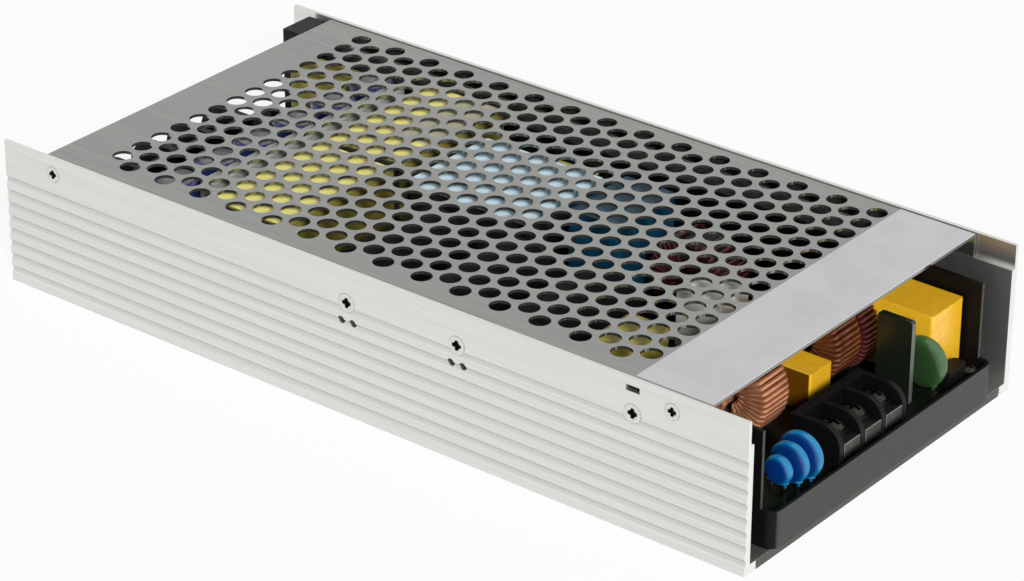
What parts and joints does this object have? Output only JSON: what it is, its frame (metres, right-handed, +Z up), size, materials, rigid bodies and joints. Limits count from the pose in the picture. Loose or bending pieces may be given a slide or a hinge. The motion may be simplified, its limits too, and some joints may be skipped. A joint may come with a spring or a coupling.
{
  "type": "enclosed power supply",
  "caption": "Slim enclosed mains power supply in a grooved aluminium channel with a perforated cover, open at both ends over its barrier terminal blocks.",
  "frame": {"origin": "middle of the base face that the unit is bolted down by", "axes": "+X along the channel to the mains end, +Y to the wall without clamp screws, +Z up to the cover"},
  "size_m": [0.24, 0.115, 0.041],
  "materials": {
    "anodised_channel": "satin anodised, grooved",
    "cover_sheet": "satin, perforated",
    "label_film": "matte, bare",
    "zinc_steel": "zinc plated",
    "tray_sheet": "matte black sheet",
    "board_laminate": "green solder mask",
    "brass": "turned",
    "black_moulding": "moulded",
    "tinned_metal": "tin plated",
    "blue_epoxy": "dipped epoxy",
    "green_epoxy": "dipped epoxy",
    "yellow_case": "moulded",
    "olive_case": "moulded",
    "teal_case": "moulded",
    "ferrite": "ground ferrite",
    "copper_wire": "enamelled copper",
    "red_wire": "red enamelled copper",
    "device_epoxy": "moulded",
    "pad_sheet": "soft thermal sheet",
    "blue_pad": "soft thermal sheet",
    "beige_pad": "soft sheet",
    "white_ceramic": "unglazed",
    "black_sleeve": "shrink sleeve on a can",
    "navy_sleeve": "shrink sleeve on a can",
    "yellow_tape": "film tape"
  },
  "bodies": {
    "root": {"case_channel": "anodised_channel", "top_cover": "cover_sheet", "label_plate": "label_film", "cover_screws": "zinc_steel", "clamp_fasteners": "zinc_steel", "insulating_tray": "tray_sheet", "circuit_board": "board_laminate", "board_spacers": "brass", "board_screws": "zinc_steel", "ac_terminal_block": "black_moulding", "ac_terminal_plates": "tinned_metal", "ac_terminal_screws": "zinc_steel", "y_capacitor_1": "blue_epoxy", "y_capacitor_2": "blue_epoxy", "y_capacitor_3": "blue_epoxy", "varistor": "green_epoxy", "upright_board": "board_laminate", "fuse": "black_moulding", "x_capacitor": "yellow_case", "filter_capacitor_1": "yellow_case", "filter_capacitor_2": "olive_case", "line_choke_1_core": "ferrite", "line_choke_1_winding": "copper_wire", "line_choke_2_core": "ferrite", "line_choke_2_winding": "copper_wire", "line_choke_3_core": "ferrite", "line_choke_3_winding": "red_wire", "line_choke_4_core": "ferrite", "line_choke_4_winding": "red_wire", "bridge_rectifier": "device_epoxy", "transistor_pair_1": "device_epoxy", "transistor_pair_2": "device_epoxy", "transistor_clamp_1": "tinned_metal", "transistor_clamp_2": "tinned_metal", "thermal_pads": "pad_sheet", "inrush_resistor": "white_ceramic", "bulk_capacitor_1": "black_sleeve", "bulk_capacitor_2": "black_sleeve", "bulk_capacitor_3": "black_sleeve", "pfc_choke_core": "ferrite", "pfc_choke_winding": "copper_wire", "pfc_choke_pad": "blue_pad", "resonant_capacitor": "teal_case", "transformer_1_core": "ferrite", "transformer_1_winding": "copper_wire", "transformer_1_tape": "yellow_tape", "transformer_2_core": "ferrite", "transformer_2_winding": "copper_wire", "transformer_2_tape": "yellow_tape", "transformer_pad": "beige_pad", "aux_transformer": "yellow_tape", "control_board": "board_laminate", "bus_bars": "tinned_metal", "output_capacitors": "navy_sleeve", "output_filter_capacitor": "olive_case", "dc_terminal_block": "black_moulding", "dc_terminal_plates": "tinned_metal", "dc_terminal_screws": "zinc_steel", "adjuster_holder": "black_moulding"}
  },
  "joints": []
}
